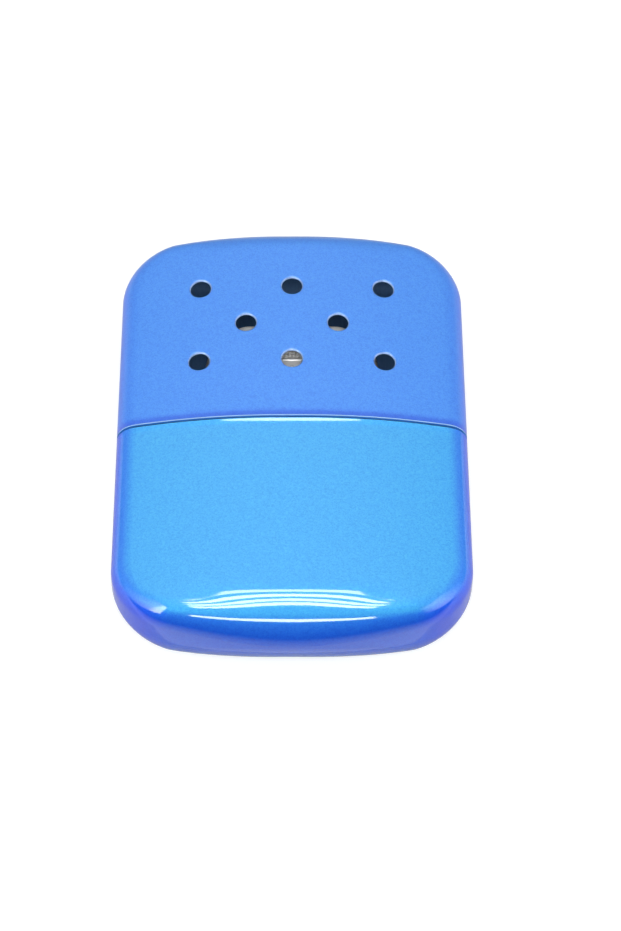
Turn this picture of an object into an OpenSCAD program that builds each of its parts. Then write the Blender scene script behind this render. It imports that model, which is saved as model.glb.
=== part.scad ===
// Catalytic pocket hand warmer, lying on its back.
// X is the width, +Y points from the base to the top of the lid, +Z is the front face.
// The origin is under the middle of the case, on the surface that it lies on.

/* [Case] */
// Width at the widest point
case_w = 68; // [60:0.5:80]
// Length from the base to the top of the lid
case_l = 95; // [86:0.5:110]
// Thickness over the two crests
case_t = 19; // [17:0.25:24]
// Width of the flat strip along each crest, on which the case lies
crest_flat = 4; // [2:0.5:8]
// Height of the straight band along each narrow side
side_flat = 3; // [2:0.25:4]
// Rounding between a crest and a narrow side
side_r = 4.8; // [3.5:0.1:5.4]
// Draft of the narrow sides, in degrees per side
side_draft = 0.3; // [0:0.05:0.8]
// Sheet thickness of the tank and the lid
case_wall = 0.5; // [0.4:0.05:0.8]

/* [Ends] */
// Corner radius of the base, seen from the front
base_corner_r = 14; // [11:0.5:20]
// Radius of the arched edge of the base
base_arch_r = 107; // [80:1:160]
// Depth of the rolled edge of the base
base_roll = 7; // [5:0.25:9]
// Corner radius of the lid top, seen from the front
lid_corner_r = 13; // [11:0.5:20]
// Radius of the arched edge of the lid top
lid_arch_r = 105; // [80:1:160]
// Depth of the rolled edge of the lid top
lid_roll = 6; // [5:0.25:9]

/* [Seam] */
// Height of the seam above the base
seam_h = 46.4; // [40:0.2:50]
// Gap between the lid and the tank at the seam
seam_gap = 0.3; // [0.1:0.05:0.6]
// Rounding of the two rims at the seam
rim_r = 0.45; // [0.2:0.05:0.45]

/* [Vents] */
// Diameter of a vent
vent_d = 4; // [3:0.1:5]
// Distance from the seam to the nearest row of vents
vent_first = 14; // [12:0.1:16]
// Distance between the rows
vent_row = 9; // [7:0.1:9.5]
// Distance from a vent to its neighbour in the next row, across the width
vent_col = 9; // [6:0.1:10]

/* [Neck] */
// How far the neck stands out of the tank, inside the lid
neck_out = 9; // [6:0.1:9.6]
// How far the neck reaches down into the tank
neck_in = 8; // [5:0.1:12]
// Sheet thickness of the neck
neck_wall = 0.5; // [0.4:0.05:0.8]
// Sliding gap between the neck and the lid, and brazing gap in the tank
neck_gap = 0.15; // [0.1:0.01:0.25]
// Rounding of the top edge of the neck
neck_r = 1.6; // [1:0.1:2.4]

/* [Mouth] */
// Length of the filling mouth inside its collar
mouth_l = 31.2; // [26:0.2:34]
// Width of the filling mouth inside its collar
mouth_w = 9.2; // [8.6:0.1:10]
// Sheet thickness of the collar
collar_wall = 0.4; // [0.3:0.05:0.6]
// How far the collar stands above the neck
collar_out = 4.5; // [4.2:0.1:6]
// Width of the collar's flange under the neck's top
collar_flange = 1.5; // [1:0.1:2]
// Depth of the felt in the mouth
felt_h = 2.8; // [2:0.1:4]

/* [Burner] */
// Height of the burner above the neck
burner_h = 16.4; // [15:0.1:18]
// Sliding gap between the skirt and the collar
skirt_gap = 0.15; // [0.08:0.01:0.25]
// Sheet thickness of the skirt
skirt_wall = 0.4; // [0.3:0.05:0.6]
// How far the skirt stands above the wires
skirt_over = 0.7; // [0.5:0.1:1.2]
// Width of the slits that make the ends of the skirt springy
slit_w = 0.8; // [0.5:0.1:1.2]
// Height of the slits
slit_h = 3.4; // [2:0.1:4]
// Distance between the two slits of one end
slit_pitch = 5; // [4:0.1:6]
// Sheet thickness of the hood
hood_wall = 0.4; // [0.3:0.05:0.6]
// How far the hood reaches down over the skirt, below the wires
hood_lap = 1.4; // [1:0.1:2]
// Corner radius of the hood, seen from the front
hood_corner_r = 7; // [5:0.1:7.5]
// Radius of the arched top edge of the hood
hood_arch_r = 80; // [50:1:120]
// Depth of the rolled top edge of the hood
hood_roll = 2.4; // [1.5:0.1:3]
// How far the gauze stays from the round ends of the hood
gauze_side = 0.6; // [0.4:0.1:2.5]
// Corner radius of the windows
window_r = 1.6; // [1:0.1:2]
// Diameter of the wires under the mat
wire_d = 0.8; // [0.6:0.05:1]
// Distance between the wires
wire_pitch = 8; // [6:0.5:10]
// How far a wire stands out of the hood at each end
wire_out = 0.3; // [0.2:0.05:0.6]
// Thickness of the gauze
gauze_t = 0.3; // [0.2:0.05:0.4]
// Distance between the wires of the gauze
gauze_pitch = 1.4; // [1.2:0.1:2]
// Width of a wire of the gauze
gauze_wire = 0.35; // [0.25:0.05:0.45]
// How far the gauze reaches behind the edge of a window
gauze_lap = 0.9; // [0.6:0.05:1.2]

/* [Hidden] */

// Clearance between pieces that are soldered, crimped or laid together
seat_gap = 0.05;
// Clearance round the soft fillings
soft_gap = 0.3;
// Clearance between the mat and the skirt
mat_gap = 0.15;
// Space between the collar and the wires above it
wire_space = 0.5;
// Overlap of a cutting tool past the face that it cuts
cut = 1;
// Segments of a crest arc, of a corner arc and of a rolled end
crest_steps = 7;
corner_steps = 6;
end_steps = 16;
rim_steps = 3;
fold_steps = 4;
fill_steps = 8;
hood_steps = 8;
round_steps = 8;
// How much smaller than the tip the last ring is worked out
tip_land = 0.03;

half_w = case_w / 2;
half_l = case_l / 2;
half_t = case_t / 2;
seam_y = seam_h - half_l;
neck_top_y = seam_y + neck_out;
neck_inset = case_wall + neck_gap;

// Ends of the case, each as [tip distance, corner radius, arch radius, roll depth]
base_end = [half_l, base_corner_r, base_arch_r, base_roll];
lid_end = [half_l, lid_corner_r, lid_arch_r, lid_roll];

flange_y = neck_top_y - neck_wall - seat_gap - collar_wall;
collar_l = mouth_l + 2 * collar_wall;
collar_w = mouth_w + 2 * collar_wall;
collar_top_y = neck_top_y + collar_out;
wadding_inset = neck_inset + neck_wall + soft_gap;
wadding_top_y = neck_top_y - felt_h - seat_gap;

skirt_in_l = collar_l + 2 * skirt_gap;
skirt_in_w = collar_w + 2 * skirt_gap;
skirt_l = skirt_in_l + 2 * skirt_wall;
skirt_w = skirt_in_w + 2 * skirt_wall;
skirt_y = neck_top_y + seat_gap;
wire_y = collar_top_y + wire_space + wire_d / 2;
wire_top_y = wire_y + wire_d / 2;
skirt_top_y = wire_top_y + skirt_over;

hood_l = skirt_l + 2 * (seat_gap + hood_wall);
hood_w = skirt_w + 2 * (seat_gap + hood_wall);
hood_y = wire_y - wire_d / 2 - hood_lap;
hood_top_y = neck_top_y + burner_h;
// The hood's end, measured from its lower rim
hood_end = [hood_top_y - hood_y, hood_corner_r, hood_arch_r, hood_roll];
// The mat has the form of the hood, inset so that it also stands inside the skirt
mat_inset = (hood_w - skirt_in_w) / 2 + mat_gap;
mat_y = wire_top_y + seat_gap;

gauze_y = skirt_top_y + seat_gap;
gauze_h = hood_top_y - hood_roll - seat_gap - gauze_y;
gauze_l = hood_l - hood_w - 2 * gauze_side;
gauze_z = hood_w / 2 - hood_wall - seat_gap - gauze_t;
window_w = gauze_l - 2 * gauze_lap;
window_h = gauze_h - 2 * gauze_lap;
window_y = gauze_y + gauze_h / 2;

// ---- Case form: rings of one lens section, which narrow, thin and turn oval towards the tips ----

// Radius of the crest that runs tangent from the flat strip to the rounding of the side
function crest_r(a, b) = (b * b + a * a - side_r * side_r) / (2 * (a - side_r));

// One quarter of the lens section, inset by d, from the crest to the side
function quarter(d) =
    let (a = half_t - side_flat / 2)
    let (c = crest_flat / 2)
    let (cx = half_w - side_r)
    let (r = crest_r(a, cx - c))
    let (cz = side_flat / 2)
    let (lean = atan2(cx - c, cz - half_t + r))
    concat(
        [for (i = [0 : crest_steps]) let (t = lean * i / crest_steps)
            [c + (r - d) * sin(t), half_t - r + (r - d) * cos(t)]],
        [for (i = [1 : corner_steps]) let (t = lean + (90 - lean) * i / corner_steps)
            [cx + (side_r - d) * sin(t), cz + (side_r - d) * cos(t)]]);

function backwards(list) = [for (i = [len(list) - 1 : -1 : 0]) list[i]];

// A whole section from one quarter of it
function all_round(q) = concat(
    q,
    [for (p = backwards(q)) [p[0], -p[1]]],
    [for (p = q) [-p[0], -p[1]]],
    [for (p = backwards(q)) [-p[0], p[1]]]);

function lens(d) = all_round(quarter(d));

// Height above the middle at which an end's corner starts
function corner_y(e, w) = e[0] - e[2] + sqrt(pow(e[2] - e[1], 2) - pow(w - e[1], 2));

// Half width of an end at height y, inset by d, for a body of half width w
function outline_w(e, w, y, d) =
    let (cy = corner_y(e, w))
    let (arch_y = e[0] - e[2])
    let (touch_y = cy + (e[1] - d) * (cy - arch_y) / (e[2] - e[1]))
    y <= cy ? w - d
    : y <= touch_y ? w - e[1] + sqrt(pow(e[1] - d, 2) - pow(y - cy, 2))
    : sqrt(max(0, pow(e[2] - d, 2) - pow(y - arch_y, 2)));

// How far height y is up the rolled edge of an end, inset by d: 0 where the roll starts and 1 at the tip
function roll_way(e, y, d) = max(0, min(1, (y - e[0] + e[3]) / (e[3] - d)));

// Share of the full thickness that is left there
function roll_share(e, y, d) = sqrt(1 - pow(roll_way(e, y, d), 2));

// A quarter section turned by the share m into a quarter ellipse of half width w and half thickness t
function domed(q, w, t, m) = [for (p = q) [p[0], (1 - m) * p[1] + m * t * sqrt(max(0, 1 - pow(p[0] / w, 2)))]];

// Heights of the rings from the start of the corner to the tip
function end_heights(e, w, d, n) =
    let (cy = corner_y(e, w))
    [for (i = [0 : n]) i < n ? cy + (e[0] - d - cy) * sin(90 * i / n) : e[0] - d];

// Narrowing of the case by the draft of its sides, at y along the case
function draft_share(y) = 1 - tan(side_draft) * max(0, y + corner_y(base_end, half_w)) / half_w;

// A ring of section at y, with the section scaled by sx and sz, about the case's middle plane
function ring(section, y, sx, sz) = [for (p = section) [p[0] * sx, y, half_t + p[1] * sz]];

// A ring of the straight part of the case, inset by d
function case_ring(y, d) = ring(lens(d), y, draft_share(y), 1);

// A ring of a rounded end of the case; way is 1 for the lid and -1 for the base
function end_ring(e, way, h, d) =
    let (tip = e[0] - d)
    let (hh = min(h, tip - tip_land))
    let (section = all_round(domed(quarter(d), half_w - d, half_t - d, pow(roll_way(e, hh, d), 2))))
    ring(section, way * h, draft_share(way * h) * outline_w(e, half_w, hh, d) / (half_w - d),
         roll_share(e, hh, d));

function end_rings(e, way, d, n) = [for (h = end_heights(e, half_w, d, n)) end_ring(e, way, h, d)];

// Rings of a rounded rim at y, where way points out of the opening
function rim_rings(y, way, d) =
    [for (i = [0 : rim_steps]) let (t = 90 * i / rim_steps)
        case_ring(y - way * rim_r * (1 - cos(t)), d + rim_r * (1 - sin(t)))];

// Rings of a cup's folded edge of radius r, from the wall at inset d up to a flat top at y
function fold_rings(y, d, r) =
    [for (i = [0 : fold_steps]) let (t = 90 * i / fold_steps)
        case_ring(y - r * (1 - sin(t)), d + r * (1 - cos(t)))];

// ---- Burner form: rings of an oval section with a domed end ----

// One quarter of the hood's oval section, inset by d
function oval_quarter(d) = [for (i = [0 : hood_steps]) let (t = 90 * i / hood_steps)
    [(hood_l - hood_w) / 2 + (hood_w / 2 - d) * sin(t), (hood_w / 2 - d) * cos(t)]];

// A ring of the hood's form at height h above its lower rim, inset by d
function hood_ring(h, d) =
    let (hh = min(h, hood_end[0] - d - tip_land))
    let (m = pow(roll_way(hood_end, hh, d), 2))
    ring(all_round(domed(oval_quarter(d), hood_l / 2 - d, hood_w / 2 - d, m)), hood_y + h,
         outline_w(hood_end, hood_l / 2, hh, d) / (hood_l / 2 - d), roll_share(hood_end, hh, d));

// Rings of the hood's form from height h up to its tip
function hood_rings(h, d) = concat([hood_ring(h, d)],
    [for (k = end_heights(hood_end, hood_l / 2, d, hood_steps)) hood_ring(k, d)]);

// ---- Solids from rings ----

function ring_quads(n, k) = [for (i = [0 : n - 1])
    [k * n + i, k * n + (i + 1) % n, (k + 1) * n + (i + 1) % n, (k + 1) * n + i]];

// Splits each face of four corners into two triangles
function split(quads) = [for (q = quads) each [[q[0], q[1], q[2]], [q[0], q[2], q[3]]]];

// A closed solid from a list of rings that climbs along Y, with a flat cap on each end ring
module loft(rings) {
    n = len(rings[0]);
    m = len(rings);
    sides = split([for (k = [0 : m - 2]) each ring_quads(n, k)]);
    caps = [[for (i = [n - 1 : -1 : 0]) i], [for (i = [0 : n - 1]) (m - 1) * n + i]];
    polyhedron(points = [for (r = rings) each r], faces = concat(sides, caps), convexity = 6);
}

// A thin cup from its outer and its inner rings, each from the rim to the tip; the rings run
// down the outside, over the rim and up the inside
module cup(outer, inner, way) {
    rings = concat(backwards(outer), inner);
    loft(way > 0 ? rings : [for (r = rings) backwards(r)]);
}

module stadium(l, w) {
    for (x = [-1, 1]) translate([x * (l - w) / 2, 0]) circle(d = w, $fn = 64);
    square([l - w, w], center = true);
}

// A rectangle with rounded corners, as one outline
module rounded_rectangle(l, w, r) {
    polygon(all_round([for (i = [0 : round_steps]) let (t = 90 * i / round_steps)
        [l / 2 - r + r * sin(t), w / 2 - r + r * cos(t)]]));
}

// Stands a flat shape on the plane y, in the middle of the thickness, and grows it towards the lid
module along_y(y, h) {
    translate([0, y, half_t]) rotate([-90, 0, 0]) linear_extrude(height = h) children();
}

// The places of the wires that carry the mat
module at_wires() {
    for (i = [-1 : 1]) translate([i * wire_pitch, wire_y, half_t]) children();
}

// ---- Pieces of the tank ----

module tank_shell() {
    rim_y = seam_y - seam_gap / 2;
    outer = concat(rim_rings(rim_y, 1, 0), end_rings(base_end, -1, 0, end_steps));
    inner = concat([case_ring(rim_y, case_wall)], end_rings(base_end, -1, case_wall, end_steps));
    color("dodgerblue") cup(outer, inner, -1);
}

module neck_cup() {
    rim_y = seam_y - neck_in;
    outer = concat([case_ring(rim_y, neck_inset)], fold_rings(neck_top_y, neck_inset, neck_r));
    inner_d = neck_inset + neck_wall;
    inner = concat([case_ring(rim_y, inner_d)],
                   fold_rings(neck_top_y - neck_wall, inner_d, neck_r - neck_wall));
    color("silver") difference() {
        cup(outer, inner, 1);
        along_y(neck_top_y - neck_wall - cut, neck_wall + 2 * cut)
            rounded_rectangle(collar_l + 2 * seat_gap, collar_w + 2 * seat_gap, collar_w / 2 + seat_gap);
    }
}

module mouth_collar() {
    color("gainsboro") {
        along_y(flange_y, collar_wall) difference() {
            stadium(collar_l + 2 * collar_flange, collar_w + 2 * collar_flange);
            stadium(mouth_l, mouth_w);
        }
        along_y(flange_y, collar_top_y - flange_y) difference() {
            stadium(collar_l, collar_w);
            stadium(mouth_l, mouth_w);
        }
    }
}

module cotton_wadding() {
    tip_up = backwards(end_rings(base_end, -1, wadding_inset, fill_steps));
    color("ivory") loft([for (r = concat(tip_up, [case_ring(wadding_top_y, wadding_inset)])) backwards(r)]);
}

module wick_felt() {
    color("beige") along_y(neck_top_y - felt_h, felt_h)
        stadium(mouth_l - 2 * soft_gap, mouth_w - 2 * soft_gap);
}

// ---- Pieces of the burner ----

module burner_skirt() {
    color("lightgray") difference() {
        along_y(skirt_y, skirt_top_y - skirt_y) difference() {
            stadium(skirt_l, skirt_w);
            stadium(skirt_in_l, skirt_in_w);
        }
        at_wires() cylinder(d = wire_d + 2 * seat_gap, h = skirt_w + 2 * cut, center = true, $fn = 24);
        for (z = [-1, 1])
            translate([-skirt_l / 2 - cut, skirt_y - cut, half_t + z * slit_pitch / 2 - slit_w / 2])
                cube([skirt_l + 2 * cut, slit_h + cut, slit_w]);
    }
}

module burner_hood() {
    color("silver") difference() {
        cup(hood_rings(0, 0), hood_rings(0, hood_wall), 1);
        at_wires() cylinder(d = wire_d + 2 * seat_gap, h = hood_w + 2 * cut, center = true, $fn = 24);
        translate([0, window_y, half_t - hood_w / 2 - cut])
            linear_extrude(height = hood_w + 2 * cut) rounded_rectangle(window_w, window_h, window_r);
    }
}

module catalyst_mat() {
    color("whitesmoke") loft([for (r = hood_rings(mat_y - hood_y, mat_inset)) backwards(r)]);
}

module gauze_panel() {
    across = floor((gauze_l - gauze_wire) / gauze_pitch);
    up = floor((gauze_h - gauze_wire) / gauze_pitch);
    hole = gauze_pitch - gauze_wire;
    linear_extrude(height = gauze_t) difference() {
        square([gauze_l, gauze_h], center = true);
        for (i = [0 : across - 1], k = [0 : up - 1])
            translate([(i - (across - 1) / 2) * gauze_pitch, (k - (up - 1) / 2) * gauze_pitch])
                square(hole, center = true);
    }
}

module catalyst_gauze() {
    color("darkgray") for (z = [gauze_z, -gauze_z - gauze_t])
        translate([0, window_y, half_t + z]) gauze_panel();
}

module mat_wires() {
    color("dimgray") at_wires() cylinder(d = wire_d, h = hood_w + 2 * wire_out, center = true, $fn = 24);
}

// ---- Lid ----

module vents() {
    for (row = [0 : 2])
        for (x = row == 1 ? [-1, 1] : [-2, 0, 2])
            translate([x * vent_col, seam_y + vent_first + row * vent_row, -cut])
                cylinder(d = vent_d, h = case_t + 2 * cut, $fn = 48);
}

module lid_shell() {
    rim_y = seam_y + seam_gap / 2;
    outer = concat(rim_rings(rim_y, -1, 0), end_rings(lid_end, 1, 0, end_steps));
    inner = concat([case_ring(rim_y, case_wall)], end_rings(lid_end, 1, case_wall, end_steps));
    color("cornflowerblue") difference() {
        cup(outer, inner, 1);
        vents();
    }
}

tank_shell();
neck_cup();
mouth_collar();
cotton_wadding();
wick_felt();
burner_skirt();
burner_hood();
catalyst_mat();
catalyst_gauze();
mat_wires();
lid_shell();
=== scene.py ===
# %% [markdown]
# # A catalytic pocket hand warmer, dressed around its construction model
#
# The construction model already holds every piece at its real size, in metres, lying on its back:
# X is the width, +Y runs from the base to the top of the lid, +Z is the front face. This notebook gives
# each piece the surface that the real one has. The two painted shells are drawn again as smooth sheet
# metal, the burner gets its fibre and woven wire, and every finish is a small node material.
#
# The frame comes first, with a helper for the box of each of its pieces.

# %% Load the frame
import math

import bmesh
import bpy
from mathutils import Matrix, Vector, noise


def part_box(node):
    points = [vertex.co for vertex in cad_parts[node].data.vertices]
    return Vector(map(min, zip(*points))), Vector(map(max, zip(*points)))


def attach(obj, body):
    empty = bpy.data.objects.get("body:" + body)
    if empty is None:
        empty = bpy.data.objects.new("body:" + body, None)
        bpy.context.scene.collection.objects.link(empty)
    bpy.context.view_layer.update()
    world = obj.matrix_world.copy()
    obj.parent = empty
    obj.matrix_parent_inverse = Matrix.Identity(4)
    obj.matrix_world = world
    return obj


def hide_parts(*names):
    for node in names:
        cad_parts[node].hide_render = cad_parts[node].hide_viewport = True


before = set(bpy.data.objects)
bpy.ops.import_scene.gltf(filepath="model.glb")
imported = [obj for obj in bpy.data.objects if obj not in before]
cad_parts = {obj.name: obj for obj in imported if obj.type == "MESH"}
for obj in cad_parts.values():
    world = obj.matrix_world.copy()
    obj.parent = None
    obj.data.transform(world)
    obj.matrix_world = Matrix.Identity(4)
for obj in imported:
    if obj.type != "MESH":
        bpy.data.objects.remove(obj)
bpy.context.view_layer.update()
MM = 0.001
TOUCH, JOIN, WELD = 1e-7, 1e-6, 2e-6  # distances, in metres, under which points count as one
print("pieces of the frame:", sorted(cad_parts))

# %% [markdown]
# ## The camera
#
# The picture was taken from 54 degrees above the table, from the base end, with a long lens. The three
# dimensions of the warmer and the places of its vents, seam and outline fix that angle and the distance.
# The lens follows from the size of the warmer in the frame, and the small shift puts it left of the middle
# and a little high, as it lies in the picture.

# %% The camera
PHOTO_W, PHOTO_H = 621, 931
VIEW_ELEVATION = math.radians(54)
VIEW_DISTANCE = 0.62243
FOCAL_PX = 3212.5
TARGET_PX = (292.0, 440.3)
SENSOR_MM = 36


def in_scene(name, data):
    """A new object of the scene."""
    thing = bpy.data.objects.new(name, data)
    bpy.context.scene.collection.objects.link(thing)
    return thing


case_middle = Vector((0, 0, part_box("lid_shell")[1].z / 2))
eye_way = Vector((0, -math.cos(VIEW_ELEVATION), math.sin(VIEW_ELEVATION)))
camera_data = bpy.data.cameras.new("camera")
camera = in_scene("camera", camera_data)
camera.location = case_middle + eye_way * VIEW_DISTANCE
camera.rotation_euler = (math.pi / 2 - VIEW_ELEVATION, 0, 0)
camera_data.sensor_width = SENSOR_MM
camera_data.lens = FOCAL_PX * SENSOR_MM / PHOTO_H
camera_data.shift_x = (PHOTO_W / 2 - TARGET_PX[0]) / PHOTO_H
camera_data.shift_y = (TARGET_PX[1] - PHOTO_H / 2) / PHOTO_H
camera_data.clip_start = 0.01
bpy.context.scene.camera = camera
bpy.context.scene.view_settings.view_transform = "Standard"
print("lens %.1f mm at %.0f mm" % (camera_data.lens, VIEW_DISTANCE * 1000))

# %% [markdown]
# ## Node materials in a few words
#
# Every finish below starts from one Principled shader. This helper makes the material, sets the sockets
# that are the same all over, and hands back the node tree, so that each finish can add its own pattern.
# Patterns read Object coordinates, which are metres here, so a scale of 1000 means one feature per
# millimetre.

# %% Helpers for materials
def finish(name, **sockets):
    material = bpy.data.materials.new(name)
    material.use_nodes = True
    shader = material.node_tree.nodes["Principled BSDF"]
    for socket, value in sockets.items():
        shader.inputs[socket.replace("_", " ")].default_value = value
    return material, material.node_tree, shader


def add(tree, kind, **settings):
    node = tree.nodes.new(kind)
    for name, value in settings.items():
        if name in node.inputs.keys():
            node.inputs[name].default_value = value
        else:
            setattr(node, name, value)
    return node


def object_pattern(tree, kind, stretch=(1, 1, 1), **settings):
    """A texture node that reads Object coordinates, stretched along the axes."""
    place = add(tree, "ShaderNodeTexCoord")
    mapping = add(tree, "ShaderNodeMapping")
    mapping.inputs["Scale"].default_value = stretch
    texture = add(tree, kind, **settings)
    tree.links.new(place.outputs["Object"], mapping.inputs["Vector"])
    tree.links.new(mapping.outputs["Vector"], texture.inputs["Vector"])
    return texture


def shades(tree, factor, *stops):
    """A colour ramp over a factor; each stop is (position, (r, g, b))."""
    ramp = add(tree, "ShaderNodeValToRGB")
    points = ramp.color_ramp.elements
    while len(points) < len(stops):
        points.new(0.5)
    for point, (position, colour) in zip(points, stops):
        point.position = position
        point.color = (*colour, 1)
    tree.links.new(factor, ramp.inputs["Fac"])
    return ramp.outputs["Color"]


def levels(tree, factor, low, high):
    """Stretches a 0 to 1 factor to the range low to high."""
    spread = add(tree, "ShaderNodeMapRange")
    spread.inputs["To Min"].default_value = low
    spread.inputs["To Max"].default_value = high
    tree.links.new(factor, spread.inputs["Value"])
    return spread.outputs["Result"]


def coordinate(tree, kind, axis):
    """One axis of a coordinate of the object."""
    place = add(tree, "ShaderNodeTexCoord")
    split = add(tree, "ShaderNodeSeparateXYZ")
    tree.links.new(place.outputs[kind], split.inputs["Vector"])
    return split.outputs[axis]


def along_y(tree, ends, values, blend="LINEAR"):
    """A value that changes from one place on the Y axis to another."""
    spread = add(tree, "ShaderNodeMapRange", interpolation_type=blend)
    tree.links.new(coordinate(tree, "Object", "Y"), spread.inputs["Value"])
    spread.inputs["From Min"].default_value, spread.inputs["From Max"].default_value = ends
    spread.inputs["To Min"].default_value, spread.inputs["To Max"].default_value = values
    return spread.outputs["Result"]


def leaning(tree, axis):
    """How far the surface faces along an axis, either way: 0 is across it, 1 is straight along it."""
    size = add(tree, "ShaderNodeMath", operation="ABSOLUTE")
    tree.links.new(coordinate(tree, "Normal", axis), size.inputs[0])
    return size.outputs["Value"]


def scaled_sum(tree, value, factor, other):
    """A value times a constant factor, plus another value."""
    total = add(tree, "ShaderNodeMath", operation="MULTIPLY_ADD")
    tree.links.new(value, total.inputs[0])
    total.inputs[1].default_value = factor
    tree.links.new(other, total.inputs[2])
    return total.outputs["Value"]


def two_surfaces(tree, factor, first, second, output):
    """Gives an output node the first shader where the factor is 0 and the second where it is 1."""
    choose = add(tree, "ShaderNodeMixShader")
    for source, socket in ((factor, 0), (first, 1), (second, 2)):
        tree.links.new(source, choose.inputs[socket])
    tree.links.new(choose.outputs["Shader"], tree.nodes[output].inputs["Surface"])


def tinted(tree, colour, factor, tint):
    """Multiplies a colour by a tint, as far as the factor says."""
    mix = add(tree, "ShaderNodeMix", data_type="RGBA", blend_type="MULTIPLY")
    tree.links.new(factor, mix.inputs["Factor"])
    tree.links.new(colour, mix.inputs["A"])
    mix.inputs["B"].default_value = (*tint, 1)
    return mix.outputs["Result"]


def greys(*stops):
    """Stops for a colour ramp in greys; each is (position, brightness)."""
    return [(place, (share, share, share)) for place, share in stops]


def bump(tree, height, depth, under=None):
    """A bump of the given depth in metres, on top of another bump's normal if there is one."""
    node = add(tree, "ShaderNodeBump", Strength=1.0, Distance=depth)
    tree.links.new(height, node.inputs["Height"])
    if under:
        tree.links.new(under, node.inputs["Normal"])
    return node.outputs["Normal"]


# %% [markdown]
# ## Studio light
#
# The warmer lies in a light tent. A wide soft lamp hangs over it, and one at each side keeps the paint's
# colour all round. The strongest lamp is a small one high in front, which also shines through the vents
# onto the burner. What makes the lacquer look wet, though, is what it mirrors: a fixture of four tubes
# overhead draws the four white lines on the rolled base, and a low strip behind the camera draws the thin
# line under them. A card on each side lights the two lower corners, the left one more, and its glow fades
# along Y, so that its reflection ends softly. All the cards are seen by reflections alone, so they leave
# the light on the object as it is. The tent is brightest behind and above the warmer and dark where the
# camera stands.

# %% Cards for reflections
def mesh_of(bm, name):
    """Turns a finished bmesh into a mesh."""
    mesh = bpy.data.meshes.new(name)
    bm.to_mesh(mesh)
    bm.free()
    return mesh


def stage_card(name, corners, strength):
    """A glowing four-cornered card that only reflections see."""
    bm = bmesh.new()
    bm.faces.new([bm.verts.new(c) for c in corners])
    card = in_scene(name, mesh_of(bm, name))
    for ray in ("camera", "diffuse", "transmission", "volume_scatter", "shadow"):
        setattr(card, "visible_" + ray, False)
    material, tree, shader = finish(name)
    glow = add(tree, "ShaderNodeEmission", Strength=strength)
    tree.links.new(glow.outputs["Emission"], tree.nodes["Material Output"].inputs["Surface"])
    card.data.materials.append(material)
    return tree, glow


LAMP_HEIGHT = 0.62
# each tube: place on Y, width, its two ends on X, glow
TUBES = ((0.055, 0.08, (-0.132, 0.129), 6.0), (-0.1, 0.085, (-0.14, 0.125), 8.0),
         (-0.252, 0.085, (-0.15, 0.13), 8.0), (-0.4, 0.12, (-0.16, 0.125), 8.0))


def level_card(name, x, y, z, strength):
    """A level card between two places on X and two on Y."""
    corners = [(x[0], y[0], z), (x[0], y[1], z), (x[1], y[1], z), (x[1], y[0], z)]
    return stage_card(name, corners, strength)


for number, (y, width, x, strength) in enumerate(TUBES, 1):
    level_card("tube_%d" % number, x, (y - width / 2, y + width / 2), LAMP_HEIGHT, strength)
STRIP_LEFT, STRIP_RIGHT, STRIP_Y = -0.19, 0.137, -0.75
STRIP_LOW, STRIP_HIGH, STRIP_GLOW = 0.17, 0.262, 8.0
stage_card("strip_low", [(STRIP_LEFT, STRIP_Y, STRIP_LOW), (STRIP_RIGHT, STRIP_Y, STRIP_LOW),
                         (STRIP_RIGHT, STRIP_Y, STRIP_HIGH), (STRIP_LEFT, STRIP_Y, STRIP_HIGH)], STRIP_GLOW)


def side_card(name, x, y, z, strength, stops):
    """A card at one side, whose glow fades along Y; each stop is (share of the way, share of the glow)."""
    corners = [(x, y[0], z[0]), (x, y[1], z[0]), (x, y[1], z[1]), (x, y[0], z[1])]
    tree, glow = stage_card(name, corners, strength)
    tree.links.new(shades(tree, along_y(tree, y, (0, 1)), *greys(*stops)), glow.inputs["Color"])


side_card("window_left", -0.5, (-0.66, 0.1), (0.02, 0.62), 4.6, ((0, 1), (0.27, 1), (0.42, 0.3), (1, 0)))
side_card("window_right", 0.5, (-0.62, 0.12), (0.02, 0.42), 1.5, ((0, 0.1), (0.35, 0.7), (0.6, 1), (1, 0)))

# %% [markdown]
# A dark card on the table in front of the base keeps the flank deep blue in its reflection. Its near edge
# fades out, so the lowest part of the flank still mirrors the white table.

# %% The dark card in front
FLAG_FADE, FLAG_GLOW, FLAG_Z = (-0.049, -0.066), (1.0, 0.03), 0.4 * MM
tree, glow = level_card("flag_front", (-1, 1), (-1.2, FLAG_FADE[0]), FLAG_Z, FLAG_GLOW[0])
tree.links.new(along_y(tree, FLAG_FADE, FLAG_GLOW), glow.inputs["Strength"])


# %% Lamps
def soft_lamp(name, place, size, watts):
    """An area lamp that looks at the middle of the case and stays out of reflections."""
    data = bpy.data.lights.new(name, "AREA")
    data.shape = "RECTANGLE"
    data.size, data.size_y = size
    data.energy = watts
    lamp = in_scene(name, data)
    lamp.location = place
    lamp.rotation_euler = (case_middle - Vector(place)).to_track_quat("-Z", "Y").to_euler()
    lamp.visible_glossy = False


soft_lamp("softbox", (0, -0.08, LAMP_HEIGHT + 0.01), (0.5, 0.8), 1.4)
soft_lamp("fill_front", (0, -0.46, 0.66), (0.3, 0.2), 3.3)
soft_lamp("fill_left", (-0.62, 0, 0.2), (0.3, 0.25), 1.6)
soft_lamp("fill_right", (0.62, 0, 0.2), (0.3, 0.25), 1.5)

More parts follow.
